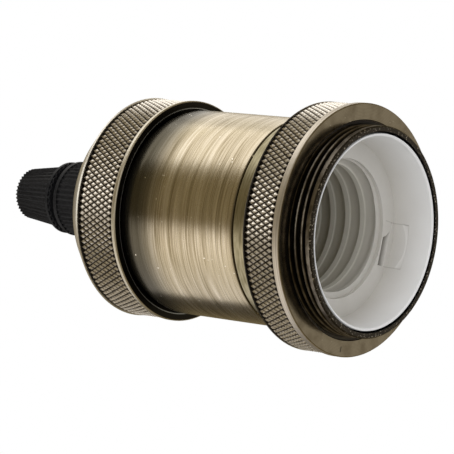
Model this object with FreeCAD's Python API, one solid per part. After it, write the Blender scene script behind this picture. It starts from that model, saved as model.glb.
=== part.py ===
import FreeCAD, Part
import math
import os
from FreeCAD import Vector

# Pendant lamp holder for an E27 screw cap lamp, in millimetres.
# It hangs mouth down: Z runs from the rim of the mouth, at 0, up to the cord grip.

# ---------------------------------------------------------------- driving sizes

# Turned metal shell, neck and cap
neck_thread_radius = 20.0      # crest of the M40 shade thread
band_relief = 0.15             # brushed cylinder over the thread's crest
body_wall = 1.2
neck_thread_length = 13.3      # rim to the plain band
rim_chamfer = 0.25
band_length = 4.7              # plain band behind the thread
groove_depth = 0.75            # dark line between band and shell
groove_width = 0.6
neck_spigot_length = 6.0       # screwed into the shell
neck_spigot_wall = 1.4
shell_length = 29.3            # band to the start of the shell's rear spigot
shell_shoulder_radius = 6.0
shell_spigot_inset = 1.55
shell_spigot_length = 6.2
shell_spigot_wall = 1.3
thread_fit = 0.05              # radial clearance of screwed parts

# Knurled rear cap
cap_overhang = 1.0             # over the shell's shoulder
cap_lip = 1.7                  # rim over the brushed cylinder
cap_mouth_clearance = 0.15
cap_mouth_depth = 1.3
cap_land = 1.05
cap_knurl_length = 8.9
cap_knurl_inset = 0.15         # diamond tips below the rim
cap_knurl_count = 117          # diamonds round the cap
cap_knurl_rows = 8
cap_bevel_width = 3.85
cap_bevel_height = 4.7
cap_dome_height = 4.4
cap_seat_margin = 1.0          # round the grip's collar
cap_seat_height = 0.6
cap_roof_thickness = 4.0
cap_roof_clearance = 0.7       # round the strap's corners
cap_cavity_step = 0.5          # inside the shell's spigot
cap_cavity_wall_height = 4.0

# Knurled shade ring
ring_front_height = 4.2
ring_width = 4.0               # over the thread's crest
ring_rim_land = 1.6
ring_knurl_inset = 0.25
ring_knurl_length = 6.9
ring_knurl_count = 128
ring_knurl_rows = 6
ring_back_chamfer = 0.3
ring_countersink = 0.9
ring_rear_clearance = 0.45     # round the plain band behind the thread
ring_bore_fit = 0.06

# Diamond knurl of both
knurl_depth = 0.38
knurl_backing = 0.3            # metal kept under the grooves

# Porcelain core with the E27 thread
core_setback = 0.2
core_clearance = 0.35          # flange to the metal
core_flange_length = 11.8
core_step = 1.7                # flange to the body behind it
mouth_wall = 0.55
funnel_taper = 0.95
ledge_depth = 8.5
thread_entry_clearance = 0.1   # round the lamp thread's grooves
thread_entry_depth = 0.8
e27_minor_radius = 12.2
e27_major_radius = 13.3
e27_groove_radius = 1.3
e27_pitch = 3.629
e27_turns = 4.6
e27_start_height = 6.42            # groove centre on the X axis, below the ledge
bore_depth = 25.5              # ledge to the bore's floor
floor_thickness = 4.0
pocket_depth = 8.0
pocket_half_width = 5.5
pocket_inner_y = 5.0
mouth_lip_round = 0.25

# Notch in the ledge, with its chipped thin wall
notch_half_width = 4.4
notch_inner_wall = 0.35        # left beside the lamp thread
notch_depth = 3.4
notch_top_depth = 5.3
notch_tongue = ((4.4, 1.65), (2.9, 1.95), (1.5, 0.85), (1.1, 0.0))     # (x, out from the wall)
notch_wall_bite = 0.5              # how far the ramp runs into the funnel's wall

# Contacts, terminals and their screws
strip_thickness = 0.5
strip_width = 6.0
strip_bend = 0.8
leaf_play = 0.4                # each side of a spring leaf's root
leaf_recess = 0.8              # room above a leaf for its travel
leaf_recess_half_width = 3.5
recess_end_wall = 3.0          # recess of the centre leaf stops this far from the axis
recess_setback = 1.2           # porcelain left beside the screws
contact_screw_y = 9.2
root_tail = 2.3                # leaf behind its screw
centre_bend_y = 5.2            # where the centre leaf leaves the floor
centre_tip_start = -0.6
centre_tip_end = 1.4
centre_tip_curl = 1.0
centre_tip_rise = 3.4
side_tab_y = 13.2
side_tab_rise = 7.4
side_tab_lean = 1.3
side_tab_curl = 0.9
side_tab_knee = 1.6            # below the tab's free end
tab_slot_half_width = 3.4
tab_slot_inner_y = 8.0
tab_slot_depth = 2.4
tab_slot_room = 1.2            # below the tab's free end
terminal_width = 8.0
terminal_depth = 6.6
terminal_height = 7.0
terminal_inner_y = 5.8
terminal_chamfer = 0.5
wire_hole_inset = 2.4
wire_hole_floor = 2.9
clamp_screw_rise = 4.6
fixing_hole_depth = 2.2
wire_hole_radius = 1.6
m3_radius = 1.5
m3_head_radius = 2.6
m3_head_height = 1.8
screw_slot_width = 0.7
screw_clearance = 0.2
screw_bite = 0.4               # clamping screw's tip in the wire hole
washer_thickness = 0.5
washer_radius = 3.0

# Steel strap that carries the core
strap_thickness = 1.2
strap_width = 11.0
strap_half_length = 10.2
strap_bend = 1.2
strap_foot_length = 5.6
core_screw_x = 7.4
stud_radius = 4.95
stud_hole_clearance = 0.15
stud_nut_across_flats = 14.0
stud_nut_height = 3.0
lock_washer_radius = 7.2
lock_washer_thickness = 0.6
stud_tail = 1.0
earth_screw_rise = 6.4         # above the strap's feet
earth_washer_side = 6.0

# Plastic cord grip
collar_radius = 7.6
collar_length = 10.6
collar_rim = 1.0
rib_count = 44
rib_depth = 0.35
cord_bore_radius = 3.3
stem_radius = 5.2
stem_length = 4.6
stem_mouth = 0.9               # countersink that guides the cord
grip_gap = 1.3                 # left to tighten the nut
nut_flange_radius = 7.3
nut_flange_length = 1.1
nut_tooth_count = 34           # fine teeth round the flange's lower edge
nut_tooth_depth = 0.35
nut_tooth_height = 0.45
nut_waist_radius = 6.4
nut_waist_rise = 1.2
nut_length = 11.9
nut_end_radius = 5.15
nut_end_chamfer = 0.35
flute_count = 40
flute_depth = 0.35
nut_hole_radius = 3.6
jaw_gap = 1.5
jaw_length = 4.8
jaw_end_room = 0.6             # between the jaw and the nut's end wall
cone_lead = 0.1                # the nut's cone starts this far below the jaw
jaw_clearance = 0.12
jaw_base_radius = 4.95
jaw_tip_radius = 4.15
jaw_slot_width = 0.8
jaw_ring = 1.3

# ---------------------------------------------------------------- sizes that follow

body_radius = neck_thread_radius + band_relief
band_top = neck_thread_length + band_length
shell_inner_radius = body_radius - body_wall
shell_spigot_radius = body_radius - shell_spigot_inset
shell_spigot_bore = shell_spigot_radius - shell_spigot_wall
shell_step_height = band_top + shell_length
shell_end_height = shell_step_height + shell_spigot_length
cap_face_height = shell_step_height - cap_overhang
cap_rim_radius = body_radius + cap_lip
cap_mouth_radius = body_radius + cap_mouth_clearance
cap_knurl_radius = cap_rim_radius - cap_knurl_inset
cap_bevel_radius = cap_rim_radius - cap_bevel_width
cap_seat_radius = collar_radius + cap_seat_margin
cap_roof_radius = math.hypot(strap_half_length, strap_width / 2) + cap_roof_clearance
cap_cavity_radius = shell_spigot_bore - cap_cavity_step
knurl_bottom = cap_face_height + cap_land
knurl_top = knurl_bottom + cap_knurl_length
bevel_top = knurl_top + cap_bevel_height
seat_height = bevel_top + cap_dome_height + cap_seat_height
roof_height = seat_height - cap_roof_thickness
ring_rim_radius = neck_thread_radius + ring_width
ring_knurl_radius = ring_rim_radius - ring_knurl_inset
ring_countersink_radius = neck_thread_radius + ring_countersink
ring_rear_sink_radius = body_radius + ring_rear_clearance
ring_length = ring_rim_land + ring_knurl_length + ring_back_chamfer
core_flange_radius = shell_inner_radius - core_clearance
core_body_radius = core_flange_radius - core_step
mouth_radius = core_flange_radius - mouth_wall
ledge_radius = mouth_radius - funnel_taper
thread_entry_radius = e27_major_radius + thread_entry_clearance
notch_inner_y = thread_entry_radius + notch_inner_wall
bore_floor_height = ledge_depth + bore_depth
floor_back = bore_floor_height + floor_thickness
core_back_height = floor_back + pocket_depth
leaf_height = bore_floor_height - leaf_play
strap_foot_top = core_back_height + strap_thickness
earth_screw_height = strap_foot_top + earth_screw_rise
strap_top = roof_height
stud_hole_radius = stud_radius + stud_hole_clearance
nut_face = strap_top - strap_thickness - lock_washer_thickness
stud_end = nut_face - stud_nut_height - stud_tail
collar_top = seat_height + collar_length
stem_top = collar_top + stem_length
nut_bottom = collar_top + grip_gap
nut_top = nut_bottom + nut_length
jaw_bottom = stem_top + jaw_gap
jaw_top = jaw_bottom + jaw_length

# ---------------------------------------------------------------- helpers

ORIGIN = Vector(0, 0, 0)
X = Vector(1, 0, 0)
Y = Vector(0, 1, 0)
Z = Vector(0, 0, 1)


def save(shape, node):
    solids = shape.Solids
    shape = solids[0] if len(solids) == 1 else Part.makeCompound(solids)
    if not shape.isValid():
        raise ValueError(node + " is not a valid solid")
    shape.exportStep("parts/" + node + ".step")
    print(node, len(solids), "solids", round(shape.Volume, 1), "mm3")


def turned(start, *steps):
    """Solid of revolution about Z. A step is (r, z), or (middle, end) for an arc."""
    edges = []
    here = Vector(start[0], 0, start[1])
    for step in steps + (start,):
        if isinstance(step[0], tuple):
            middle = Vector(step[0][0], 0, step[0][1])
            end = Vector(step[1][0], 0, step[1][1])
            edges.append(Part.Arc(here, middle, end).toShape())
        else:
            end = Vector(step[0], 0, step[1])
            edges.append(Part.LineSegment(here, end).toShape())
        here = end
    face = Part.Face(Part.Wire(edges))
    return face.revolve(ORIGIN, Z, 360)


def block(x0, x1, y0, y1, z0, z1):
    return Part.makeBox(x1 - x0, y1 - y0, z1 - z0, Vector(x0, y0, z0))


def rod(radius, start, end):
    along = end.sub(start)
    return Part.makeCylinder(radius, along.Length, start, along)


def pillar(radius, x, y, z0, z1):
    return rod(radius, Vector(x, y, z0), Vector(x, y, z1))


def bent_outline(path, offset, bend):
    """Edges of a path with rounded bends, moved sideways by offset. The path lies in 2-D."""
    corners = []
    for before, corner, after in zip(path, path[1:], path[2:]):
        a = (corner - before).normalize()
        b = (after - corner).normalize()
        turn = math.atan2(a.x * b.y - a.y * b.x, a.dot(b))
        side = math.copysign(1.0, turn)
        back = bend * math.tan(abs(turn) / 2)
        centre = corner - a * back + Vector(-a.y, a.x, 0) * side * bend
        radius = bend - side * offset
        aim = (b - a).normalize() * radius
        corners.append((centre - Vector(-a.y, a.x, 0) * side * radius,
                        centre - aim,
                        centre - Vector(-b.y, b.x, 0) * side * radius))
    first = (path[1] - path[0]).normalize()
    last = (path[-1] - path[-2]).normalize()
    start = path[0] + Vector(-first.y, first.x, 0) * offset
    finish = path[-1] + Vector(-last.y, last.x, 0) * offset
    return start, corners, finish


def bent_strip(points, thickness, width, bend, place):
    """Sheet strip along a 2-D path, with bends, as wide as width. place maps 2-D to 3-D."""
    path = [Vector(u, v, 0) for u, v in points]
    edges = []
    sides = [bent_outline(path, offset, bend) for offset in (thickness / 2, -thickness / 2)]
    for start, corners, finish in sides:
        here = start
        for enter, middle, leave in corners:
            edges.append(Part.LineSegment(here, enter).toShape())
            edges.append(Part.Arc(enter, middle, leave).toShape())
            here = leave
        edges.append(Part.LineSegment(here, finish).toShape())
    edges.append(Part.LineSegment(sides[0][0], sides[1][0]).toShape())
    edges.append(Part.LineSegment(sides[0][2], sides[1][2]).toShape())
    wire = Part.Wire(Part.__sortEdges__(edges))
    strip = Part.Face(wire).extrude(Vector(0, 0, width))
    strip.translate(Vector(0, 0, -width / 2))
    return strip.transformGeometry(place)


# 2-D (u, v) of a strip's path to (y, z), with its width along X
ACROSS_X = FreeCAD.Matrix(0, 0, 1, 0, 1, 0, 0, 0, 0, 1, 0, 0, 0, 0, 0, 1)
# 2-D (u, v) of a strip's path to (x, z), with its width along Y
ACROSS_Y = FreeCAD.Matrix(1, 0, 0, 0, 0, 0, -1, 0, 0, 1, 0, 0, 0, 0, 0, 1)


def star_section(count, root, crest, z):
    """Closed wire of count straight ridges, from the root to the crest radius."""
    corners = []
    for n in range(2 * count):
        radius = crest if n % 2 else root
        angle = math.pi * n / count
        corners.append(Vector(radius * math.cos(angle), radius * math.sin(angle), z))
    return Part.makePolygon(corners + corners[:1])


def ridged(count, depth, bottom, top):
    """Ridged solid from the bottom to the top (crest radius, z)."""
    sections = [star_section(count, radius - depth, radius, z) for radius, z in (bottom, top)]
    return Part.makeLoft(sections, True, True)


def pan_screw(tip, head, head_height):
    """M3 screw with a slotted round head. It runs from its tip to the seat of its head."""
    along = head.sub(tip).normalize()
    across = along.cross(X)
    if across.Length < 0.5:
        across = Y
    shank = rod(m3_radius, tip, head)
    cap = rod(m3_head_radius, head, head + along * head_height)
    rim = [edge for edge in cap.Edges if edge.BoundBox.Center.sub(head).dot(along) > 0.9 * head_height]
    cap = cap.makeFillet(head_height / 3, rim[:1])
    slot = Part.makeBox(2.4 * m3_head_radius, screw_slot_width, head_height)
    slot.translate(Vector(-1.2 * m3_head_radius, -screw_slot_width / 2, 0))
    turn = FreeCAD.Rotation(Z, along)
    slot.Placement = FreeCAD.Placement(head + along * head_height * 0.55, turn)
    slot.translate(turn.multVec(Vector(-1.2 * m3_head_radius, -screw_slot_width / 2, 0)))
    return shank.fuse(cap).cut(slot).removeSplitter()


def hexagon(across_flats, z0, z1):
    corner = across_flats / math.sqrt(3)
    corners = [Vector(corner * math.cos(a), corner * math.sin(a), z0)
               for a in (math.radians(90 + 60 * n) for n in range(7))]
    return Part.Face(Part.makePolygon(corners)).extrude(Vector(0, 0, z1 - z0))


# ---------------------------------------------------------------- metal shell parts

def threaded_neck():
    """Neck with the shade thread, the plain band and the spigot that enters the shell."""
    spigot_radius = shell_inner_radius - thread_fit
    spigot_bore = shell_inner_radius - neck_spigot_wall
    spigot_end = band_top + neck_spigot_length
    shoulder = band_top - 1.0
    return turned((shell_inner_radius, 0),
                  (neck_thread_radius - rim_chamfer, 0),
                  (neck_thread_radius, rim_chamfer),
                  (neck_thread_radius, neck_thread_length),
                  (body_radius, neck_thread_length),
                  (body_radius, band_top),
                  (spigot_radius, band_top),
                  (spigot_radius, spigot_end),
                  (spigot_bore, spigot_end),
                  (spigot_bore, shoulder),
                  (shell_inner_radius, shoulder))


def shell():
    """Brushed cylinder with a rounded rear shoulder and a spigot that enters the cap."""
    arc_start = shell_step_height - math.sqrt(
        shell_shoulder_radius ** 2
        - (shell_shoulder_radius - body_radius + shell_spigot_radius) ** 2)
    centre = body_radius - shell_shoulder_radius
    middle_z = (arc_start + shell_step_height) / 2
    middle_r = centre + math.sqrt(shell_shoulder_radius ** 2 - (middle_z - arc_start) ** 2)
    taper_start = arc_start - 1.5
    return turned((shell_inner_radius, band_top),
                  (body_radius - groove_depth, band_top),
                  (body_radius, band_top + groove_width),
                  (body_radius, arc_start),
                  ((middle_r, middle_z), (shell_spigot_radius, shell_step_height)),
                  (shell_spigot_radius, shell_end_height),
                  (shell_spigot_bore, shell_end_height),
                  (shell_spigot_bore, shell_step_height - 1.0),
                  (shell_inner_radius, taper_start))


def knurl(tip_radius, z0, z1, count, rows):
    """Sleeve of diamond pyramids, each row half a diamond further round than the last."""
    root_radius = tip_radius - knurl_depth
    row_height = (z1 - z0) / (rows + 1)
    facets = []

    def point(radius, turn, row):
        angle = 2 * math.pi * turn / count
        return Vector(radius * math.cos(angle), radius * math.sin(angle), z0 + row * row_height)

    def facet(*corners):
        facets.append(Part.Face(Part.makePolygon(corners + corners[:1])))

    for row in range(rows + 2):
        for n in range(count):
            turn = n + (row % 2) / 2
            left = point(root_radius, turn - 0.5, row)
            right = point(root_radius, turn + 0.5, row)
            ends = [point(root_radius, turn, near) for near in (row - 1, row + 1)
                    if 0 <= near <= rows + 1]
            if len(ends) == 1:
                facet(left, right, ends[0])
                continue
            tip = point(tip_radius, turn, row)
            for end in ends:
                facet(tip, left, end)
                facet(tip, right, end)
    for row in (0, rows + 1):
        first = 0.5 + (row % 2) / 2
        facet(*[point(root_radius, n + first, row) for n in range(count)])
    sleeve = Part.makeCompound(facets)
    sleeve.sewShape()
    core = Part.makeCylinder(root_radius - knurl_backing, z1 - z0 + 2, Vector(0, 0, z0 - 1))
    return Part.Solid(sleeve).cut(core)


def rear_cap():
    """Turned cap: knurl band, bevel, low dome and the seat of the cord grip."""
    dome_foot = bevel_top + cap_dome_height
    dome_middle = ((cap_bevel_radius + cap_seat_radius) / 2, bevel_top + 0.66 * cap_dome_height)
    thread_bore = shell_spigot_radius + thread_fit
    mouth_floor = cap_face_height + cap_mouth_depth
    cavity_top = shell_end_height + cap_cavity_wall_height
    edge = 0.25
    under_knurl = cap_knurl_radius - knurl_depth - knurl_backing
    cap = turned((cap_mouth_radius, cap_face_height),
                 (cap_rim_radius - edge, cap_face_height),
                 (cap_rim_radius, cap_face_height + edge),
                 (cap_rim_radius, knurl_bottom - edge),
                 (cap_knurl_radius, knurl_bottom),
                 (under_knurl, knurl_bottom),
                 (under_knurl, knurl_top),
                 (cap_knurl_radius, knurl_top),
                 (cap_rim_radius, knurl_top + edge),
                 (cap_bevel_radius, bevel_top),
                 (dome_middle, (cap_seat_radius, dome_foot)),
                 (cap_seat_radius, seat_height),
                 (stud_hole_radius, seat_height),
                 (stud_hole_radius, roof_height),
                 (cap_roof_radius, roof_height),
                 (cap_cavity_radius, cavity_top),
                 (cap_cavity_radius, shell_end_height),
                 (thread_bore, shell_end_height),
                 (thread_bore, mouth_floor),
                 (cap_mouth_radius, mouth_floor))
    return cap.fuse(knurl(cap_knurl_radius, knurl_bottom, knurl_top,
                          cap_knurl_count, cap_knurl_rows))


def shade_ring():
    """Knurled ring that runs on the neck's thread."""
    bore = neck_thread_radius + ring_bore_fit
    sink = ring_countersink_radius - bore
    rear_sink = ring_rear_sink_radius - bore
    back = ring_front_height + ring_length
    knurl_start = ring_front_height + ring_rim_land
    knurl_end = knurl_start + ring_knurl_length
    under_knurl = ring_knurl_radius - knurl_depth - knurl_backing
    edge = 0.2
    ring = turned((ring_countersink_radius, ring_front_height),
                  (ring_rim_radius - edge, ring_front_height),
                  (ring_rim_radius, ring_front_height + edge),
                  (ring_rim_radius, knurl_start - edge),
                  (ring_knurl_radius, knurl_start),
                  (under_knurl, knurl_start),
                  (under_knurl, knurl_end),
                  (ring_knurl_radius, knurl_end),
                  (ring_knurl_radius - ring_back_chamfer, back),
                  (ring_rear_sink_radius, back),
                  (bore, back - rear_sink),
                  (bore, ring_front_height + sink))
    return ring.fuse(knurl(ring_knurl_radius, knurl_start, knurl_end,
                           ring_knurl_count, ring_knurl_rows))


# ---------------------------------------------------------------- porcelain core

def e27_groove():
    """Rounded helical groove of the E27 thread, cut into the bore."""
    centre = e27_major_radius - e27_groove_radius
    helix = Part.makeHelix(e27_pitch, e27_pitch * e27_turns, centre)
    helix.translate(Vector(0, 0, e27_start_height))
    circle = Part.Circle(Vector(centre, 0, e27_start_height), Y, e27_groove_radius)
    profile = Part.Wire([circle.toShape()])
    return Part.Wire(helix).makePipeShell([profile], True, True)


def notch():
    """Ramp cut in the ledge. The thin wall beside the thread is chipped on one side."""
    outer_y = core_flange_radius
    outline = [(-notch_half_width, notch_inner_y), (-notch_half_width, outer_y),
               (notch_half_width, outer_y)]
    outline += [(x, notch_inner_y + out) for x, out in notch_tongue]
    corners = [Vector(x, y, notch_top_depth) for x, y in outline]
    plan = Part.Face(Part.makePolygon(corners + corners[:1]))
    prism = plan.extrude(Vector(0, 0, ledge_depth + notch_depth - notch_top_depth))
    left = -notch_half_width
    foot = Vector(left, notch_inner_y, ledge_depth + notch_depth)
    head = Vector(left, ledge_radius + notch_wall_bite, notch_top_depth)
    heel = Vector(left, notch_inner_y, notch_top_depth)
    wedge = Part.Face(Part.makePolygon([foot, head, heel, foot]))
    return prism.common(wedge.extrude(X * (2 * notch_half_width)))


def porcelain_core():
    """One piece of glazed porcelain: funnel, ledge, threaded bore and terminal pockets."""
    lip = mouth_lip_round
    core = turned((0, bore_floor_height),
                  (e27_minor_radius, bore_floor_height),
                  (e27_minor_radius, ledge_depth + thread_entry_depth),
                  (thread_entry_radius, ledge_depth + thread_entry_depth),
                  (thread_entry_radius, ledge_depth),
                  (ledge_radius, ledge_depth),
                  (mouth_radius, core_setback + lip),
                  (mouth_radius + lip, core_setback),
                  (core_flange_radius - lip / 2, core_setback),
                  (core_flange_radius, core_setback + lip),
                  (core_flange_radius, core_flange_length),
                  (core_body_radius, core_flange_length),
                  (core_body_radius, core_back_height),
                  (0, core_back_height))
    core = core.cut(e27_groove())
    core = core.cut(notch())
    for side in (-1, 1):
        near = side * pocket_inner_y
        far = side * (core_body_radius + 1)
        pocket = block(-pocket_half_width, pocket_half_width, min(near, far), max(near, far),
                       floor_back, core_back_height + 1)
        core = core.cut(pocket)
        core = core.cut(pillar(m3_radius + screw_clearance, 0, side * contact_screw_y,
                               bore_floor_height - 1, floor_back + 1))
        core = core.cut(pillar(m3_radius + screw_clearance, side * core_screw_x, 0,
                               bore_floor_height - 1, core_back_height + 1))
    slot_top = bore_floor_height - side_tab_rise - tab_slot_room
    slot = block(-tab_slot_half_width, tab_slot_half_width, tab_slot_inner_y,
                 e27_minor_radius + tab_slot_depth, slot_top, bore_floor_height)
    core = core.cut(slot)
    recess_top = bore_floor_height + leaf_recess
    centre_recess = block(-leaf_recess_half_width, leaf_recess_half_width,
                          recess_setback - contact_screw_y, -recess_end_wall,
                          bore_floor_height - 1, recess_top)
    side_recess = block(-leaf_recess_half_width, leaf_recess_half_width,
                        contact_screw_y + recess_setback, e27_minor_radius + tab_slot_depth,
                        bore_floor_height - 1, recess_top)
    return core.cut(centre_recess).cut(side_recess)


# ---------------------------------------------------------------- contacts and terminals

def centre_contact():
    """Spring tongue that the lamp's centre contact presses."""
    flat = leaf_height - strip_thickness / 2
    tip = flat - centre_tip_rise
    path = [(-contact_screw_y - root_tail, flat), (-centre_bend_y, flat),
            (centre_tip_start, tip), (centre_tip_end, tip),
            (centre_tip_end + centre_tip_curl, tip + centre_tip_curl)]
    tongue = bent_strip(path, strip_thickness, strip_width, strip_bend, ACROSS_X)
    return tongue.cut(pillar(m3_radius + screw_clearance, 0, -contact_screw_y,
                             bore_floor_height - 2, bore_floor_height + 2))


def side_contact():
    """Spring tab that the lamp's threaded shell presses."""
    flat = leaf_height - strip_thickness / 2
    top = flat - side_tab_rise
    knee_y = side_tab_y - side_tab_lean
    path = [(contact_screw_y - root_tail, flat), (side_tab_y, flat),
            (knee_y, top + side_tab_knee), (knee_y + side_tab_curl, top)]
    tab = bent_strip(path, strip_thickness, strip_width, strip_bend, ACROSS_X)
    return tab.cut(pillar(m3_radius + screw_clearance, 0, contact_screw_y,
                          bore_floor_height - 2, bore_floor_height + 2))


def terminal(side):
    """Brass block with a wire hole, a clamping screw hole and a fixing hole."""
    half = terminal_width / 2
    y0 = terminal_inner_y
    y1 = terminal_inner_y + terminal_depth
    top = floor_back + terminal_height
    body = block(-half, half, y0, y1, floor_back, top)
    upright = [edge for edge in body.Edges if edge.BoundBox.ZLength > terminal_height / 2]
    body = body.makeChamfer(terminal_chamfer, upright)
    wire_y = y0 + wire_hole_inset
    clamp_z = floor_back + clamp_screw_rise
    body = body.cut(pillar(wire_hole_radius, 0, wire_y, floor_back + wire_hole_floor, top + 1))
    body = body.cut(rod(m3_radius + thread_fit, Vector(0, wire_y, clamp_z),
                        Vector(0, y1 + 1, clamp_z)))
    body = body.cut(pillar(m3_radius + thread_fit, 0, contact_screw_y,
                           floor_back - 1, floor_back + fixing_hole_depth))
    if side < 0:
        body = body.mirror(ORIGIN, Y)
    return body


def terminal_screws():
    """Two clamping screws, one in each terminal block."""
    outer = terminal_inner_y + terminal_depth
    tip = terminal_inner_y + wire_hole_inset + wire_hole_radius - screw_bite
    z = floor_back + clamp_screw_rise
    screws = [pan_screw(Vector(0, side * tip, z), Vector(0, side * outer, z), m3_head_height)
              for side in (-1, 1)]
    return Part.makeCompound(screws)


def contact_screws():
    """Two screws that hold the contacts and the terminal blocks to the porcelain floor."""
    seat = leaf_height - strip_thickness - leaf_play
    screws = [pan_screw(Vector(0, side * contact_screw_y, floor_back + 2.0),
                        Vector(0, side * contact_screw_y, seat), 1.2)
              for side in (-1, 1)]
    return Part.makeCompound(screws)


def core_screws():
    """Two long screws that hold the core to the strap's feet."""
    seat = bore_floor_height - washer_thickness
    screws = [pan_screw(Vector(side * core_screw_x, 0, strap_foot_top + 1.2),
                        Vector(side * core_screw_x, 0, seat), m3_head_height)
              for side in (-1, 1)]
    return Part.makeCompound(screws)


def core_screw_washers():
    """Two washers between the core screws' heads and the porcelain."""
    washers = []
    for side in (-1, 1):
        x = side * core_screw_x
        z0 = bore_floor_height - washer_thickness
        disc = pillar(washer_radius, x, 0, z0, bore_floor_height)
        washers.append(disc.cut(pillar(m3_radius + screw_clearance, x, 0, z0 - 1,
                                       bore_floor_height + 1)))
    return Part.makeCompound(washers)


# ---------------------------------------------------------------- strap and its fasteners

def strap():
    """Bent steel strap: a bridge under the cap's roof and two feet on the porcelain."""
    half = strap_thickness / 2
    leg_x = strap_half_length - half
    foot_z = core_back_height + half
    foot_x = strap_half_length - strap_foot_length
    top = strap_top - half
    path = [(-foot_x, foot_z), (-leg_x, foot_z), (-leg_x, top), (leg_x, top),
            (leg_x, foot_z), (foot_x, foot_z)]
    body = bent_strip(path, strap_thickness, strap_width, strap_bend, ACROSS_Y)
    body = body.cut(pillar(stud_hole_radius, 0, 0, strap_top - 3, strap_top + 1))
    for side in (-1, 1):
        body = body.cut(pillar(m3_radius + thread_fit, side * core_screw_x, 0,
                               core_back_height - 1, strap_foot_top + 1))
    body = body.cut(rod(m3_radius + thread_fit, Vector(-strap_half_length - 1, 0, earth_screw_height),
                        Vector(-strap_half_length + 3, 0, earth_screw_height)))
    return body


def stud_nut():
    """Thin hexagon nut on the cord grip's stud."""
    nut = hexagon(stud_nut_across_flats, nut_face - stud_nut_height, nut_face)
    chamfer = 0.5
    corner = stud_nut_across_flats / math.sqrt(3)
    envelope = turned((0, nut_face - stud_nut_height),
                      (corner - chamfer, nut_face - stud_nut_height),
                      (corner, nut_face - stud_nut_height + chamfer),
                      (corner, nut_face - chamfer),
                      (corner - chamfer, nut_face),
                      (0, nut_face))
    bore = pillar(stud_radius + thread_fit, 0, 0, nut_face - stud_nut_height - 1, nut_face + 1)
    return nut.common(envelope).cut(bore)


def lock_washer():
    """Toothed washer under the hexagon nut."""
    tooth_count = 12
    low = nut_face
    high = nut_face + lock_washer_thickness
    disc = ridged(tooth_count, 0.9, (lock_washer_radius, low), (lock_washer_radius, high))
    return disc.cut(pillar(stud_hole_radius, 0, 0, low - 1, high + 1))


def earth_screw():
    """Earth terminal screw in one leg of the strap."""
    seat = -strap_half_length - washer_thickness
    return pan_screw(Vector(-strap_half_length + strap_thickness + 1.4, 0, earth_screw_height),
                     Vector(seat, 0, earth_screw_height), m3_head_height)


def earth_washer():
    """Square washer with turned corners under the earth screw's head."""
    half = earth_washer_side / 2
    x1 = -strap_half_length
    plate = block(x1 - washer_thickness, x1, -half, half,
                  earth_screw_height - half, earth_screw_height + half)
    edges = [edge for edge in plate.Edges if edge.BoundBox.XLength > washer_thickness / 2]
    plate = plate.makeFillet(0.8, edges)
    return plate.cut(rod(m3_radius + screw_clearance, Vector(x1 - 2, 0, earth_screw_height),
                         Vector(x1 + 1, 0, earth_screw_height)))


# ---------------------------------------------------------------- plastic cord grip

def grip_base():
    """Ribbed collar with the stud below it and the nut's threaded stem above it."""
    rib_top = collar_top - collar_rim
    root = collar_radius - rib_depth
    body = turned((cord_bore_radius, stud_end),
                  (stud_radius, stud_end),
                  (stud_radius, seat_height),
                  (root, seat_height),
                  (root, rib_top),
                  (collar_radius, rib_top),
                  (collar_radius, collar_top - 0.2),
                  (collar_radius - 0.2, collar_top),
                  (stem_radius, collar_top),
                  (stem_radius, stem_top),
                  (cord_bore_radius + stem_mouth, stem_top),
                  (cord_bore_radius, stem_top - stem_mouth))
    ribs = ridged(rib_count, rib_depth + 0.1, (collar_radius - 0.02, seat_height),
                  (collar_radius - 0.02, rib_top))
    ribs = ribs.cut(pillar(root - 0.5, 0, 0, seat_height - 1, rib_top + 1))
    return body.fuse(ribs)


def nut_cone_radius(z):
    """Radius of the nut's inner cone, which closes the jaw."""
    slope = (jaw_base_radius - jaw_tip_radius) / jaw_length
    return jaw_base_radius + jaw_clearance - slope * (z - jaw_bottom)


def grip_nut():
    """Compression nut: toothed flange, tapered fluted body and an inner cone."""
    flange_top = nut_bottom + nut_flange_length
    waist = flange_top + nut_waist_rise
    tooth_root = nut_flange_radius - nut_tooth_depth
    tooth_top = nut_bottom + nut_tooth_height
    flute_end = nut_top - nut_end_chamfer
    flute_root = nut_waist_radius - flute_depth
    end_root = nut_end_radius - flute_depth
    end_wall = jaw_top + jaw_end_room
    cone_start = jaw_bottom - cone_lead
    thread_bore = stem_radius + thread_fit
    body = turned((thread_bore, nut_bottom),
                  (tooth_root, nut_bottom),
                  (tooth_root, tooth_top),
                  (nut_flange_radius, tooth_top),
                  (nut_flange_radius, flange_top),
                  (flute_root, waist),
                  (end_root, flute_end),
                  (end_root - nut_end_chamfer, nut_top),
                  (nut_hole_radius, nut_top),
                  (nut_hole_radius, end_wall),
                  (nut_cone_radius(end_wall), end_wall),
                  (nut_cone_radius(cone_start), cone_start),
                  (thread_bore, cone_start))
    flutes = ridged(flute_count, flute_depth + 0.1, (nut_waist_radius, waist - nut_waist_rise / 2),
                    (nut_end_radius, flute_end))
    teeth = ridged(nut_tooth_count, nut_tooth_depth + 0.1, (nut_flange_radius, nut_bottom),
                   (nut_flange_radius, tooth_top + 0.1))
    core = turned((0, nut_bottom - 1), (flute_root - 0.5, nut_bottom - 1),
                  (flute_root - 0.5, waist), (end_root - 0.3, nut_top + 1), (0, nut_top + 1))
    return body.fuse(flutes.cut(core)).fuse(teeth.cut(core))


def grip_jaw():
    """Slotted plastic cone that closes on the cord."""
    body = turned((cord_bore_radius, jaw_bottom),
                  (jaw_base_radius, jaw_bottom),
                  (jaw_tip_radius, jaw_top),
                  (cord_bore_radius, jaw_top))
    reach = jaw_base_radius + 1
    for size_x, size_y in ((reach, jaw_slot_width / 2), (jaw_slot_width / 2, reach)):
        body = body.cut(block(-size_x, size_x, -size_y, size_y, jaw_bottom + jaw_ring, jaw_top + 1))
    return body


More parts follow.
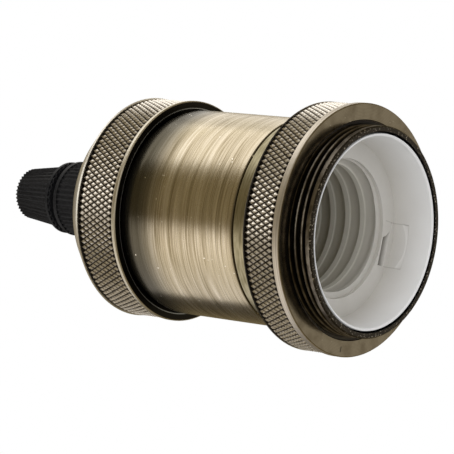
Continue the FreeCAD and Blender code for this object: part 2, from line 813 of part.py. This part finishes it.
def main():
    os.makedirs("parts", exist_ok=True)
    save(threaded_neck(), "threaded_neck")
    save(shell(), "shell")
    save(rear_cap(), "rear_cap")
    save(shade_ring(), "shade_ring")
    save(porcelain_core(), "porcelain_core")
    save(centre_contact(), "centre_contact")
    save(side_contact(), "side_contact")
    save(terminal(-1), "centre_terminal")
    save(terminal(1), "side_terminal")
    save(terminal_screws(), "terminal_screws")
    save(contact_screws(), "contact_screws")
    save(core_screws(), "core_screws")
    save(core_screw_washers(), "core_screw_washers")
    save(strap(), "strap")
    save(stud_nut(), "stud_nut")
    save(lock_washer(), "lock_washer")
    save(earth_screw(), "earth_screw")
    save(earth_washer(), "earth_washer")
    save(grip_base(), "grip_base")
    save(grip_nut(), "grip_nut")
    save(grip_jaw(), "grip_jaw")


main()
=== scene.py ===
import math

import bpy
from mathutils import Matrix, Vector


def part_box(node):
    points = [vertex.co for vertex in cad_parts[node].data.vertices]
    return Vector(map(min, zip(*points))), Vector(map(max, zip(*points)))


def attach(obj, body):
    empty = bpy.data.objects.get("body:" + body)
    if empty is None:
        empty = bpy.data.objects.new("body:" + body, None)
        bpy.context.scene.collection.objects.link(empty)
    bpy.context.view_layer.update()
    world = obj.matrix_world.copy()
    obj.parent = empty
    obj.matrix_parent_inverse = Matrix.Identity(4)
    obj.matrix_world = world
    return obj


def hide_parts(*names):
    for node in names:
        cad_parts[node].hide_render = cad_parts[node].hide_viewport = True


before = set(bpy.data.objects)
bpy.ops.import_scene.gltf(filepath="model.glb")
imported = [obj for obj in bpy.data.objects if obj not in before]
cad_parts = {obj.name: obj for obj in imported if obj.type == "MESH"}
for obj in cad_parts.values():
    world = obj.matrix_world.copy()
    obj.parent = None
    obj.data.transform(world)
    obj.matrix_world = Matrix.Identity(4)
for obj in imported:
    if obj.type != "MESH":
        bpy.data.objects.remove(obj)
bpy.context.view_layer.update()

MM = 0.001

# The photograph's view, in the row frame: the camera looks up into the mouth.
VIEW_HEADING = math.radians(82.82)     # of the line of sight, from +X towards +Y
VIEW_RISE = math.radians(39.71)        # of the line of sight above level
VIEW_ROLL = math.radians(-83.3)
VIEW_AIM = Vector((-2.2, 0.3, 36.2)) * MM
VIEW_DISTANCE = 514.7 * MM
LENS_MM = 208.8
SENSOR_MM = 36.0
NEAREST_SEEN = 10 * MM

ROOM_LIGHT = 0.72          # even light on what isn't metal

# Sizes of the turned parts that the looks depend on
NECK_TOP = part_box("threaded_neck")[1].z
THREAD_RADIUS = 20.0 * MM
THREAD_LENGTH = 13.3 * MM
THREAD_PITCH = 1.5 * MM
THREAD_DEPTH = 0.6 * MM
THREAD_LEAD_LAND = 1.1 * MM
NECK_BORE = 18.95 * MM
BAND_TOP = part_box("shell")[0].z
BAND_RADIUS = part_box("threaded_neck")[1].x
RING_TIP_RADIUS = 23.75 * MM
CAP_TIP_RADIUS = 21.7 * MM
RING_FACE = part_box("shade_ring")[0].z
CAP_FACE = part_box("rear_cap")[0].z
CAP_BORE = 20.3 * MM
BORE_CREST = 12.2 * MM
LEDGE = 8.5 * MM
NOTCH_INNER = 13.6 * MM
NOTCH_HALF_WIDTH = 4.4 * MM
NOTCH_HEAD = 5.4 * MM      # nearest the rim
NOTCH_FOOT = 12.0 * MM     # deepest
BORE_SHADE_DEPTH = 32.0 * MM     # over which the porcelain is painted darker, as shade deep in the bore
SCRATCH = (-22.5 * MM, 1.6 * MM)     # on the ring's face
SHOULDER_SHADE = (35.0 * MM, 42.5 * MM)    # where the shell is painted darker towards the cap, as shade
CAP_BEVEL = (18.5 * MM, 20.5 * MM)   # where the cap's bevel is worn pale
RING_BAND = (5.8 * MM, 12.7 * MM)
CAP_BAND = (47.35 * MM, 56.25 * MM)
KNURL_DEPTH = 0.38 * MM


# ---------------------------------------------------------------- node helper

class Shader:
    """A material whose nodes are written as nested calls."""

    def __init__(self, name, roughness=0.5, metallic=0.0):
        self.material = bpy.data.materials.new(name)
        self.material.use_nodes = True
        self.tree = self.material.node_tree
        self.surface = self.tree.nodes["Principled BSDF"]
        self.surface.inputs["Roughness"].default_value = roughness
        self.surface.inputs["Metallic"].default_value = metallic

    def add(self, kind, inputs=None, **settings):
        node = self.tree.nodes.new("ShaderNode" + kind)
        for key, value in settings.items():
            setattr(node, key, value)
        for key, value in (inputs or {}).items():
            self.put(node.inputs[key], value)
        return node

    def put(self, socket, value):
        if isinstance(value, bpy.types.NodeSocket):
            self.tree.links.new(value, socket)
        else:
            socket.default_value = value

    def place(self):
        """Position in the piece's own frame, which is the row frame at rest."""
        return self.add("TexCoord").outputs["Object"]

    def stretched(self, scale):
        return self.add("Mapping", {"Vector": self.place(), "Scale": scale}).outputs["Vector"]

    def noise(self, scale, detail=3.0, roughness=0.5, distortion=0.0):
        node = self.add("TexNoise", {"Vector": self.stretched(scale), "Scale": 1.0,
                                     "Detail": detail, "Roughness": roughness,
                                     "Distortion": distortion})
        return node.outputs["Fac"]

    def span(self, value, low, high, out_low=0.0, out_high=1.0, smooth=False):
        node = self.add("MapRange", {"Value": value, "From Min": low, "From Max": high,
                                     "To Min": out_low, "To Max": out_high})
        node.interpolation_type = "SMOOTHSTEP" if smooth else "LINEAR"
        return node.outputs["Result"]

    def math(self, operation, a, b=0.0, c=0.0):
        node = self.add("Math", operation=operation)
        for socket, value in zip(node.inputs, (a, b, c)):
            self.put(socket, value)
        return node.outputs[0]

    def mix(self, factor, a, b, blend="MIX"):
        node = self.add("Mix", data_type="RGBA", blend_type=blend)
        self.put(node.inputs[0], factor)
        self.put(node.inputs[6], a)
        self.put(node.inputs[7], b)
        return node.outputs[2]

    def ramp(self, value, stops):
        node = self.add("ValToRGB", {"Fac": value})
        elements = node.color_ramp.elements
        while len(elements) < len(stops):
            elements.new(0.5)
        for element, (position, colour) in zip(elements, stops):
            element.position = position
            element.color = (*colour, 1.0)
        return node.outputs["Color"]

    def radius(self):
        parts = self.add("SeparateXYZ", {"Vector": self.place()}).outputs
        square = self.math("ADD", self.math("MULTIPLY", parts["X"], parts["X"]),
                           self.math("MULTIPLY", parts["Y"], parts["Y"]))
        return self.math("SQRT", square)

    def height(self):
        return self.add("SeparateXYZ", {"Vector": self.place()}).outputs["Z"]

    def turning(self, across, along, detail=3.0):
        """Noise drawn out round the axis, as a lathe leaves it on a wall, a dome or a face."""
        parts = self.add("SeparateXYZ", {"Vector": self.place()}).outputs
        path = self.math("SUBTRACT", parts["Z"], self.radius())
        spot = self.add("CombineXYZ", {"X": self.math("MULTIPLY", parts["X"], along),
                                       "Y": self.math("MULTIPLY", parts["Y"], along),
                                       "Z": self.math("MULTIPLY", path, across)})
        return self.add("TexNoise", {"Vector": spot.outputs[0], "Scale": 1.0,
                                     "Detail": detail}).outputs["Fac"]

    def bump(self, value, distance, strength=1.0, under=None):
        inputs = {"Height": value, "Distance": distance, "Strength": strength}
        if under is not None:
            inputs["Normal"] = under
        return self.add("Bump", inputs).outputs["Normal"]

    def finish(self, colour=None, roughness=None, normal=None):
        for key, value in (("Base Color", colour), ("Roughness", roughness), ("Normal", normal)):
            if value is not None:
                self.put(self.surface.inputs[key], value)
        return self.material


def rgba(*colour):
    return (*colour, 1.0)


# ---------------------------------------------------------------- materials

def brushed_brass():
    """Darkened brass with fine lines round the axis and a few bright nicks."""
    s = Shader("brushed_antique_brass", roughness=0.3, metallic=1.0)
    s.surface.inputs["Anisotropic"].default_value = 0.65
    s.surface.inputs["Anisotropic Rotation"].default_value = 0.25
    tangent = s.add("Tangent", direction_type="RADIAL", axis="Z")
    s.put(s.surface.inputs["Tangent"], tangent.outputs[0])
    fine = s.noise((70, 70, 5200), detail=4.0, roughness=0.7)
    broad = s.noise((45, 45, 900), detail=3.0, roughness=0.6)
    cloud = s.noise((110, 110, 60), detail=3.0)
    lines = s.math("ADD", s.math("MULTIPLY", fine, 0.6), s.math("MULTIPLY", broad, 0.4))
    metal = s.ramp(lines, [(0.36, (0.24, 0.19, 0.11)), (0.49, (0.54, 0.47, 0.35)),
                           (0.62, (0.74, 0.67, 0.55))])
    metal = s.mix(s.span(cloud, 0.42, 0.7, 0.0, 0.35), metal, rgba(0.50, 0.43, 0.27))
    streak = s.noise((22, 22, 2400), detail=2.0)
    metal = s.mix(s.span(streak, 0.60, 0.68, 0.0, 0.55), metal, rgba(0.22, 0.18, 0.10))
    metal = s.mix(s.span(streak, 0.38, 0.30, 0.0, 0.45), metal, rgba(0.86, 0.80, 0.68))
    # Painted shade: the shell grows near black towards the cap.
    shoulder = s.span(s.height(), *SHOULDER_SHADE, 0.0, 0.93, smooth=True)
    metal = s.mix(shoulder, metal, rgba(0.065, 0.06, 0.045))
    # Painted shade: the shell's chamfered end at the parting groove is near black.
    groove = s.span(s.height(), BAND_TOP + 0.75 * MM, BAND_TOP + 0.45 * MM)
    metal = s.mix(groove, metal, rgba(0.05, 0.04, 0.02))
    nick = s.span(s.noise((1500, 1500, 1500), detail=0.0), 0.835, 0.85)
    metal = s.mix(nick, metal, rgba(0.95, 0.9, 0.8))
    rough = s.span(fine, 0.3, 0.7, 0.34, 0.22)
    return s.finish(metal, rough, s.bump(lines, 0.012 * MM, 0.6))


def knurled_brass(s, tip_radius, band):
    """Pale worn tips and grooves painted near black as shade: the colour, a mask of the band,
    and the roughness.
    """
    lift = s.span(s.radius(), tip_radius - KNURL_DEPTH, tip_radius)
    # Painted shade: the lowest part of each groove is near black; the tips are pale worn brass.
    worn = s.math("ADD", lift, s.span(s.noise((900, 900, 900)), 0.3, 0.7, -0.06, 0.06))
    diamonds = s.ramp(worn, [(0.06, (0.010, 0.008, 0.006)), (0.20, (0.17, 0.15, 0.125)),
                             (0.40, (0.60, 0.56, 0.50)), (0.85, (0.93, 0.90, 0.85))])
    z = s.height()
    edge = 0.02 * MM
    inside = s.math("MULTIPLY", s.span(z, band[0] - edge, band[0] + edge),
                    s.span(z, band[1] + edge, band[1] - edge))
    return diamonds, inside, s.span(lift, 0.0, 1.0, 0.40, 0.22)


def finish_knurled(s, colour, rough):
    """Flat facets under a fine grain."""
    facet = s.add("NewGeometry").outputs["True Normal"]
    grain = s.bump(s.noise((2600, 2600, 2600)), 0.02 * MM, 0.4, under=facet)
    return s.finish(colour, rough, grain)


def cap_brass():
    """Knurled cap: pale worn rims, a front face painted near black as dark reflection with a
    painted highlight on its inner edge, and its bore painted black as shade.
    """
    s = Shader("knurled_cap_brass", roughness=0.3, metallic=1.0)
    diamonds, inside, knurl_rough = knurled_brass(s, CAP_TIP_RADIUS, CAP_BAND)
    turned = s.turning(2600, 55)
    land = s.mix(s.span(turned, 0.35, 0.65), rgba(0.50, 0.46, 0.36), rgba(0.74, 0.70, 0.62))
    rear = s.span(s.height(), CAP_BAND[1], CAP_BAND[1] + 0.1 * MM, 0.0, 0.8)
    rear = s.math("MULTIPLY", rear, s.span(s.radius(), *CAP_BEVEL))
    land = s.mix(rear, land, rgba(0.93, 0.91, 0.87))
    # Painted reflection: the front face is near black, with a thin pale painted highlight at its
    # inner edge.
    front = s.span(s.height(), CAP_FACE + 0.10 * MM, CAP_FACE + 0.02 * MM)
    edge = s.span(s.radius(), CAP_BORE + 0.22 * MM, CAP_BORE + 0.14 * MM)
    face = s.mix(edge, rgba(0.018, 0.016, 0.012), rgba(0.42, 0.44, 0.45))
    land = s.mix(front, land, face)
    # Painted shade: the bore wall in the gap round the shell is near black.
    inner = s.span(s.radius(), CAP_BORE + 0.03 * MM, CAP_BORE + 0.01 * MM)
    inner = s.math("MULTIPLY", inner, s.span(s.height(), CAP_BAND[1], CAP_BAND[1] - 0.5 * MM))
    land = s.mix(inner, land, rgba(0.02, 0.018, 0.015))
    # The knurl's colour carries painted shade in its grooves.
    colour = s.mix(inside, land, diamonds)
    rough = s.mix(inside, s.span(turned, 0.3, 0.7, 0.45, 0.35), knurl_rough)
    return finish_knurled(s, colour, rough)


def ring_brass():
    """Knurled ring: brown turned face with a small scratch, and a paler rim."""
    s = Shader("knurled_ring_brass", roughness=0.3, metallic=1.0)
    diamonds, inside, knurl_rough = knurled_brass(s, RING_TIP_RADIUS, RING_BAND)
    turned = s.turning(2600, 55)
    mottle = s.noise((420, 420, 420), detail=4.0)
    land = s.mix(s.span(turned, 0.35, 0.65), rgba(0.42, 0.38, 0.32), rgba(0.66, 0.61, 0.54))
    circles = s.math("SINE", s.math("MULTIPLY", s.radius(), 24000.0))
    face = s.mix(s.span(circles, -1.0, 1.0), rgba(0.27, 0.235, 0.175), rgba(0.36, 0.32, 0.25))
    face = s.mix(s.span(mottle, 0.42, 0.7, 0.0, 0.6), face, rgba(0.17, 0.14, 0.095))
    front = s.span(s.height(), RING_FACE + 0.16 * MM, RING_FACE + 0.06 * MM)
    place = s.add("SeparateXYZ", {"Vector": s.place()}).outputs
    along = s.math("ABSOLUTE", s.math("SUBTRACT", place["X"], SCRATCH[0]))
    along = s.span(along, 0.62 * MM, 0.45 * MM)
    across = s.math("ABSOLUTE", s.math("SUBTRACT", place["Y"], SCRATCH[1]))
    across = s.span(across, 0.16 * MM, 0.06 * MM)
    scratch = s.math("MULTIPLY", s.math("MULTIPLY", along, across), front)
    land = s.mix(front, land, face)
    # The knurl's colour carries painted shade in its grooves.
    colour = s.mix(inside, land, diamonds)
    nick = s.span(s.noise((2300, 2300, 2300), detail=0.0), 0.855, 0.87, 0.0, 0.6)
    colour = s.mix(nick, colour, rgba(0.92, 0.88, 0.80))
    colour = s.mix(scratch, colour, rgba(0.02, 0.018, 0.015))
    plain = s.mix(front, s.span(turned, 0.3, 0.7, 0.5, 0.4), rgba(0.18, 0.18, 0.18))
    rough = s.mix(inside, plain, knurl_rough)
    return finish_knurled(s, colour, rough)


def dark_brass():
    """Neck: near-black bronze with its thread grooves painted black as shade, worn crests, a
    speckled rim and a plain band.
    """
    s = Shader("dark_thread_brass", roughness=0.3, metallic=1.0)
    grain = s.noise((300, 300, 2600), detail=3.0)
    wear = s.noise((500, 500, 900), detail=3.0)
    depth = s.span(s.radius(), THREAD_RADIUS - THREAD_DEPTH, THREAD_RADIUS, smooth=True)
    crest = s.math("ADD", depth, s.span(wear, 0.3, 0.7, -0.12, 0.06))
    # Painted shade: the thread's roots are near black; the crests are worn paler.
    thread = s.ramp(crest, [(0.0, (0.004, 0.0035, 0.003)), (0.70, (0.03, 0.026, 0.021)),
                            (0.90, (0.12, 0.105, 0.088)), (1.0, (0.26, 0.235, 0.20))])
    band = s.ramp(grain, [(0.3, (0.20, 0.175, 0.10)), (0.6, (0.38, 0.345, 0.235))])
    colour = s.mix(s.span(s.height(), THREAD_LENGTH - 0.1 * MM, THREAD_LENGTH), thread, band)
    speck = s.span(s.noise((2600, 2600, 2600), detail=2.0), 0.60, 0.68)
    face = s.mix(speck, rgba(0.045, 0.04, 0.035), rgba(0.50, 0.47, 0.43))
    colour = s.mix(s.span(s.height(), 0.32 * MM, 0.24 * MM), colour, face)
    return s.finish(colour, s.span(grain, 0.3, 0.7, 0.38, 0.26), s.bump(grain, 0.02 * MM, 0.5))


def notch_painted_shade(s):
    """Mask of painted shadow at the notch's deep end, where its inner wall shades it, and of
    painted shade along its two sides.
    """
    place = s.add("SeparateXYZ", {"Vector": s.place()}).outputs
    side = s.math("ABSOLUTE", place["X"])
    notch = s.math("MULTIPLY", s.span(place["Y"], NOTCH_INNER, NOTCH_INNER + 0.05 * MM),
                   s.span(side, NOTCH_HALF_WIDTH + 0.02 * MM, NOTCH_HALF_WIDTH - 0.02 * MM))
    notch = s.math("MULTIPLY", notch, s.span(place["Z"], NOTCH_FOOT + 0.1 * MM, NOTCH_FOOT))
    deep = s.span(place["Z"], LEDGE + 0.06 * MM, LEDGE + 0.8 * MM, 0.0, 0.62)
    corner = s.math("MULTIPLY", s.span(place["Z"], NOTCH_HEAD, NOTCH_HEAD + 0.3 * MM),
                    s.span(side, NOTCH_HALF_WIDTH - 0.25 * MM, NOTCH_HALF_WIDTH, 0.0, 0.45))
    return s.math("MULTIPLY", notch, s.math("MAXIMUM", deep, corner))


def porcelain():
    """White glaze, painted darker and warmer down the bore as shade, with the turns' crests
    there painted pale as light catching them.
    """
    s = Shader("glazed_porcelain", roughness=0.4)
    s.surface.inputs["Coat Weight"].default_value = 0.12
    s.surface.inputs["Coat Roughness"].default_value = 0.32
    wave = s.noise((160, 160, 160), detail=3.0)
    grit = s.noise((1500, 1500, 1500), detail=3.0)
    z = s.math("ADD", s.height(), s.span(wave, 0.3, 0.7, -0.5 * MM, 0.5 * MM))
    # Painted shade: the glaze grows darker and browner with depth into the bore.
    body = s.ramp(s.math("DIVIDE", z, BORE_SHADE_DEPTH),
                  [(0.0, (0.84, 0.84, 0.84)), (0.07, (0.80, 0.795, 0.785)),
                   (0.18, (0.70, 0.685, 0.66)), (0.27, (0.61, 0.59, 0.55)),
                   (0.33, (0.50, 0.48, 0.43)), (0.55, (0.36, 0.335, 0.27)),
                   (1.0, (0.26, 0.24, 0.18))])
    # Painted highlight: the crests of the turns deep in the bore are painted pale.
    crest = s.span(s.radius(), BORE_CREST + 0.45 * MM, BORE_CREST + 0.15 * MM, 0.0, 0.75)
    deep = s.math("MULTIPLY", crest, s.span(s.height(), 10.0 * MM, 11.0 * MM))
    body = s.mix(deep, body, rgba(0.70, 0.68, 0.61))
    # Painted shadow: the notch's deep end and sides are greyed.
    body = s.mix(notch_painted_shade(s), body, rgba(0.20, 0.185, 0.16))
    speck = s.span(s.noise((700, 700, 700), detail=1.0), 0.84, 0.86)
    body = s.mix(speck, body, rgba(0.30, 0.28, 0.24))
    height = s.math("ADD", wave, s.math("MULTIPLY", grit, 0.12))
    return s.finish(body, s.span(grit, 0.3, 0.7, 0.36, 0.48), s.bump(height, 0.15 * MM, 0.35))


def plastic():
    """Black moulded plastic with a fine matt grain."""
    s = Shader("black_plastic", roughness=0.42)
    s.surface.inputs["Specular IOR Level"].default_value = 0.08
    grain = s.noise((1800, 1800, 1800), detail=3.0)
    colour = s.mix(s.span(grain, 0.4, 0.7), rgba(0.010, 0.010, 0.011), rgba(0.020, 0.020, 0.021))
    return s.finish(colour, s.span(grain, 0.3, 0.7, 0.36, 0.5), s.bump(grain, 0.02 * MM, 0.35))


def plain_metal(name, dark, light, roughness):
    """Stamped or plated metal with faint cloudy marks from handling."""
    s = Shader(name, roughness=roughness, metallic=1.0)
    lines = s.noise((900, 900, 900), detail=1.0)
    marks = s.noise((120, 120, 120), detail=1.0)
    colour = s.mix(s.span(marks, 0.2, 0.8), rgba(*dark), rgba(*light))
    return s.finish(colour, s.span(lines, 0.3, 0.7, roughness * 0.8, roughness * 1.2),
                    s.bump(lines, 0.004 * MM, 0.3))


def dress(node, material):
    """Give a CAD node its one material."""
    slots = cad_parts[node].data.materials
    slots.clear()
    slots.append(material)


# ---------------------------------------------------------------- neck with its thread

def neck_profile():
    """Closed outline as (radius, height, takes the thread), from the rim upwards."""
    spigot = NECK_BORE - 0.05 * MM
    spigot_bore = NECK_BORE - 1.4 * MM
    shoulder = BAND_TOP - 1.0 * MM
    chamfer = 0.25 * MM
    points = [(NECK_BORE, 0.0, False), (THREAD_RADIUS - chamfer, 0.0, False)]
    steps = 132
    for n in range(steps + 1):
        points.append((THREAD_RADIUS, chamfer + (THREAD_LENGTH - chamfer) * n / steps, True))
    points += [(BAND_RADIUS, THREAD_LENGTH, False), (BAND_RADIUS, BAND_TOP, False),
               (spigot, BAND_TOP, False), (spigot, NECK_TOP, False),
               (spigot_bore, NECK_TOP, False), (spigot_bore, shoulder, False),
               (NECK_BORE, shoulder, False)]
    return points


def smooth_step(value):
    value = min(max(value, 0.0), 1.0)
    return value * value * (3 - 2 * value)


def thread_cut(angle, z):
    """Depth of the shade thread's groove at a point of the neck."""
    turn = (z - THREAD_LEAD_LAND) / THREAD_PITCH - angle / (2 * math.pi)
    groove = 0.5 - 0.5 * math.cos(2 * math.pi * turn)
    start = smooth_step((z - THREAD_LEAD_LAND) / (0.3 * MM))
    end = smooth_step((THREAD_LENGTH - 0.3 * MM - z) / (0.5 * MM))
    return THREAD_DEPTH * smooth_step(groove * 1.15) * start * end


def threaded_neck():
    """The neck with its shade thread cut, in place of the plain CAD one."""
    profile = neck_profile()
    around = 300
    vertices = []
    for n in range(around):
        angle = 2 * math.pi * n / around
        for radius, z, threaded in profile:
            r = radius - (thread_cut(angle, z) if threaded else 0.0)
            vertices.append((r * math.cos(angle), r * math.sin(angle), z))
    count = len(profile)
    faces = []
    for n in range(around):
        here, there = n * count, (n + 1) % around * count
        for k in range(count):
            m = (k + 1) % count
            faces.append((here + k, there + k, there + m, here + m))
    mesh = bpy.data.meshes.new("threaded_neck_cut")
    mesh.from_pydata(vertices, [], faces)
    mesh.validate()
    neck = bpy.data.objects.new("threaded_neck_cut", mesh)
    bpy.context.collection.objects.link(neck)
    mesh.shade_smooth()
    mesh.set_sharp_from_angle(angle=math.radians(35))
    neck.data.materials.append(dark_brass())
    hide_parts("threaded_neck")
    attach(neck, "housing")


# ---------------------------------------------------------------- surfaces of the CAD nodes

def dress_nodes():
    brushed = brushed_brass()
    dress("shell", brushed)
    dress("rear_cap", cap_brass())
    dress("shade_ring", ring_brass())
    dress("porcelain_core", porcelain())
    black = plastic()
    for node in ("grip_base", "grip_nut", "grip_jaw"):
        dress(node, black)
    contact = plain_metal("contact_brass", (0.82, 0.64, 0.34), (0.90, 0.73, 0.42), 0.38)
    for node in ("centre_contact", "side_contact", "centre_terminal", "side_terminal",
                 "contact_screws", "earth_screw", "earth_washer"):
        dress(node, contact)
    steel = plain_metal("zinc_plated_steel", (0.42, 0.42, 0.41), (0.66, 0.66, 0.64), 0.36)
    for node in ("terminal_screws", "core_screws", "core_screw_washers", "strap", "stud_nut",
                 "lock_washer"):
        dress(node, steel)


# ---------------------------------------------------------------- stage

def floor_material():
    """Pale floor that only shows from above, so that the mouth can be seen from below."""
    material = bpy.data.materials.new("pale_floor")
    material.use_nodes = True
    tree = material.node_tree
    tree.nodes.clear()
    out = tree.nodes.new("ShaderNodeOutputMaterial")
    mix = tree.nodes.new("ShaderNodeMixShader")
    clear = tree.nodes.new("ShaderNodeBsdfTransparent")
    pale = tree.nodes.new("ShaderNodeBsdfDiffuse")
    pale.inputs["Color"].default_value = rgba(0.86, 0.86, 0.85)
    path = tree.nodes.new("ShaderNodeLightPath")
    side = tree.nodes.new("ShaderNodeNewGeometry")
    seen = tree.nodes.new("ShaderNodeMath")
    seen.operation = "SUBTRACT"
    seen.use_clamp = True
    tree.links.new(path.outputs["Is Camera Ray"], seen.inputs[0])
    tree.links.new(side.outputs["Backfacing"], seen.inputs[1])
    tree.links.new(seen.outputs[0], mix.inputs[0])
    tree.links.new(clear.outputs[0], mix.inputs[1])
    tree.links.new(pale.outputs[0], mix.inputs[2])
    tree.links.new(mix.outputs[0], out.inputs["Surface"])
    return material


def build_stage():
    """Wide floor, a hair below the rim that the holder stands on."""
    half = 3.0
    mesh = bpy.data.meshes.new("floor")
    mesh.from_pydata([(-half, -half, 0), (half, -half, 0), (half, half, 0), (-half, half, 0)],
                     [], [(0, 1, 2, 3)])
    floor = bpy.data.objects.new("floor", mesh)
    floor.location.z = -0.05 * MM
    floor.data.materials.append(floor_material())
    bpy.context.collection.objects.link(floor)


def build_world():
    """White to the camera, a dim warm room to the metal, an even pale light to the rest."""
    world = bpy.data.worlds.new("studio")
    bpy.context.scene.world = world
    world.use_nodes = True
    tree = world.node_tree
    tree.nodes.clear()

    def node(kind, **settings):
        made = tree.nodes.new("ShaderNode" + kind)
        for key, value in settings.items():
            setattr(made, key, value)
        return made

    # The room is darkest at one side, where the studio has no screen.
    direction = node("TexCoord").outputs["Generated"]
    toward = node("VectorMath", operation="DOT_PRODUCT")
    tree.links.new(direction, toward.inputs[0])
    toward.inputs[1].default_value = (-0.73, 0.27, 0.63)
    dark = node("MapRange")
    tree.links.new(toward.outputs["Value"], dark.inputs["Value"])
    dark.inputs["From Min"].default_value = 0.70
    dark.inputs["From Max"].default_value = 0.98
    room = node("Mix", data_type="RGBA")
    tree.links.new(dark.outputs["Result"], room.inputs[0])
    room.inputs[6].default_value = rgba(0.22, 0.172, 0.085)
    room.inputs[7].default_value = rgba(0.05, 0.042, 0.03)
    out = node("OutputWorld")
    path = node("LightPath")
    layers = [("Is Camera Ray", rgba(1.0, 1.0, 1.0)),
              ("Is Transmission Ray", rgba(1.0, 1.0, 1.0)),
              ("Is Glossy Ray", room.outputs[2])]
    shader = node("Background")
    shader.inputs["Color"].default_value = rgba(1.0, 1.0, 1.0)
    shader.inputs["Strength"].default_value = ROOM_LIGHT
    for ray, colour in reversed(layers):
        seen = node("Background")
        if isinstance(colour, bpy.types.NodeSocket):
            tree.links.new(colour, seen.inputs["Color"])
        else:
            seen.inputs["Color"].default_value = colour
        mix = node("MixShader")
        tree.links.new(path.outputs[ray], mix.inputs[0])
        tree.links.new(shader.outputs[0], mix.inputs[1])
        tree.links.new(seen.outputs[0], mix.inputs[2])
        shader = mix
    tree.links.new(shader.outputs[0], out.inputs["Surface"])


def softbox(name, heading, rise, width, height, power, colour=(1.0, 1.0, 1.0), distance=0.9):
    """Area light that faces the object from a heading and a rise, in degrees."""
    light = bpy.data.lights.new(name, "AREA")
    light.shape = "RECTANGLE"
    light.size = width
    light.size_y = height
    light.energy = power
    light.color = colour
    lamp = bpy.data.objects.new(name, light)
    a, e = math.radians(heading), math.radians(rise)
    direction = Vector((math.cos(a) * math.cos(e), math.sin(a) * math.cos(e), math.sin(e)))
    aim = Vector((0.0, 0.0, 35 * MM))
    lamp.location = aim + direction * distance
    lamp.rotation_euler = direction.to_track_quat("Z", "Y").to_euler()
    lamp.visible_camera = False
    bpy.context.collection.objects.link(lamp)


def build_lights():
    """Six soft screens: three along the body, one for the knurl, two towards the mouth."""
    softbox("upper_softbox", -15.0, 38.0, 0.75, 0.75, 2.1, (1.0, 0.985, 0.965))
    softbox("edge_softbox", 36.0, 38.0, 0.55, 0.75, 1.3, (1.0, 1.0, 1.0))
    softbox("lower_softbox", -160.0, 38.0, 1.2, 0.75, 2.75, (1.0, 0.96, 0.93))
    softbox("facet_softbox", -31.0, 0.0, 0.7, 0.5, 1.6, (1.0, 0.99, 0.98))
    softbox("mouth_key", -92.0, -24.0, 0.9, 0.45, 1.7)
    softbox("face_fill", 82.0, -38.0, 0.7, 0.6, 0.4)


def build_camera():
    """The photograph's camera, from the line of sight and the roll about it."""
    heading, rise = VIEW_HEADING, VIEW_RISE
    sight = Vector((math.cos(heading) * math.cos(rise), math.sin(heading) * math.cos(rise),
                    math.sin(rise)))
    level = sight.cross(Vector((0, 0, 1))).normalized()
    upright = level.cross(sight)
    right = level * math.cos(VIEW_ROLL) + upright * math.sin(VIEW_ROLL)
    up = right.cross(sight)
    camera = bpy.data.objects.new("camera", bpy.data.cameras.new("camera"))
    turn = Matrix((right, up, -sight)).transposed()
    camera.matrix_world = Matrix.Translation(VIEW_AIM - sight * VIEW_DISTANCE) @ turn.to_4x4()
    camera.data.sensor_width = SENSOR_MM
    camera.data.lens = LENS_MM
    camera.data.clip_start = NEAREST_SEEN
    bpy.context.collection.objects.link(camera)
    bpy.context.scene.camera = camera


def main():
    threaded_neck()
    dress_nodes()
    build_stage()
    build_world()
    build_lights()
    build_camera()
    bpy.context.scene.view_settings.view_transform = "Standard"
    bpy.context.view_layer.update()


main()
